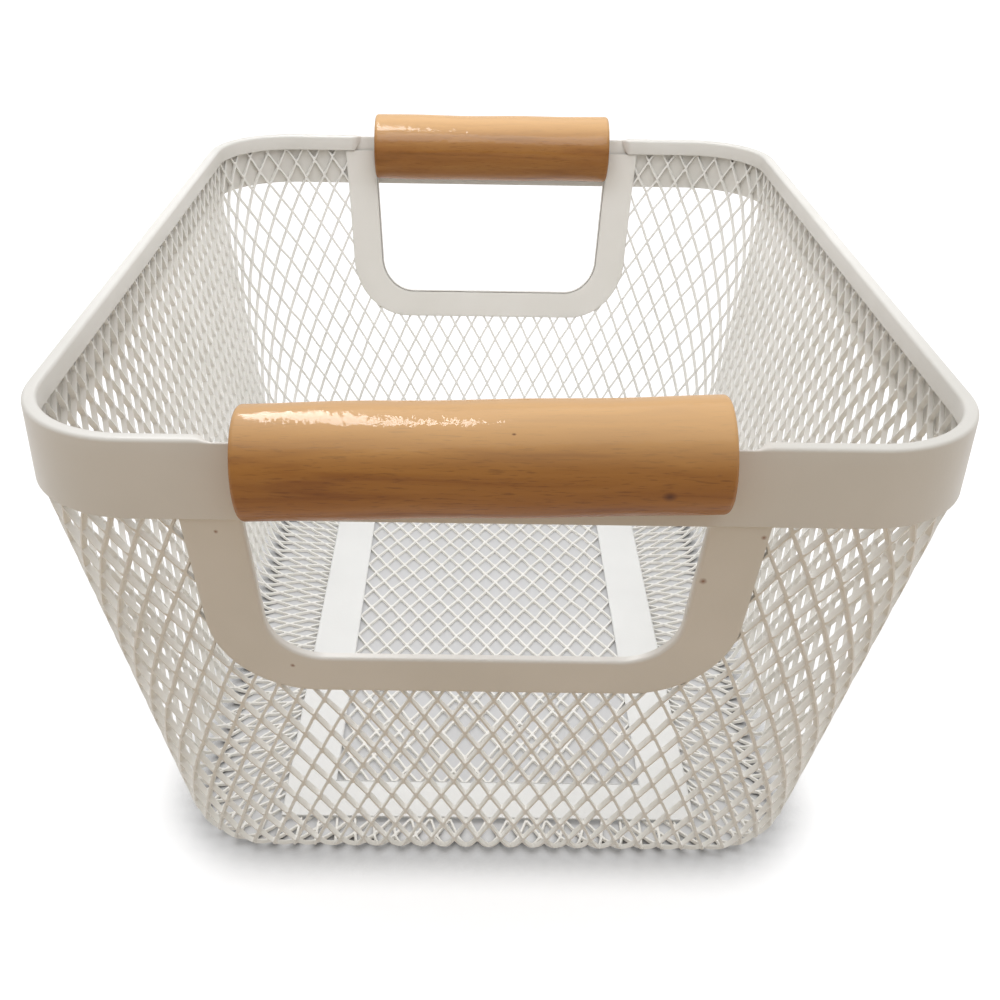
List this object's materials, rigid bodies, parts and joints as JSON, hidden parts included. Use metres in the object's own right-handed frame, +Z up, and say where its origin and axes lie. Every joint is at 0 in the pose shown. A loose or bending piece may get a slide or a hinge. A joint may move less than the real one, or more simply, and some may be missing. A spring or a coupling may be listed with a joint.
{
  "type": "mesh basket",
  "caption": "Rectangular storage basket of expanded steel mesh with a hemmed steel rim, a flat base frame, and a wooden grip over a U-framed hand opening at each end.",
  "frame": {"origin": "under the middle of the basket, on the surface that it stands on", "axes": "+X to the right along the short side, +Y along the long side from the front grip to the back grip, +Z up"},
  "size_m": [0.25, 0.3358, 0.1767],
  "materials": {
    "mesh": "satin warm-white powder coat on expanded steel",
    "painted_steel": "satin warm-white powder coat on sheet steel",
    "painted_strip": "satin white powder coat on flat steel strip",
    "wood": "warm brown hardwood under gloss varnish"
  },
  "bodies": {
    "root": {"mesh_wall": "mesh", "mesh_floor": "mesh", "rim_band": "painted_steel", "front_plate_outer": "painted_steel", "front_plate_inner": "painted_steel", "back_plate_outer": "painted_steel", "back_plate_inner": "painted_steel", "base_frame": "painted_strip", "front_grip": "wood", "back_grip": "wood"}
  },
  "joints": []
}
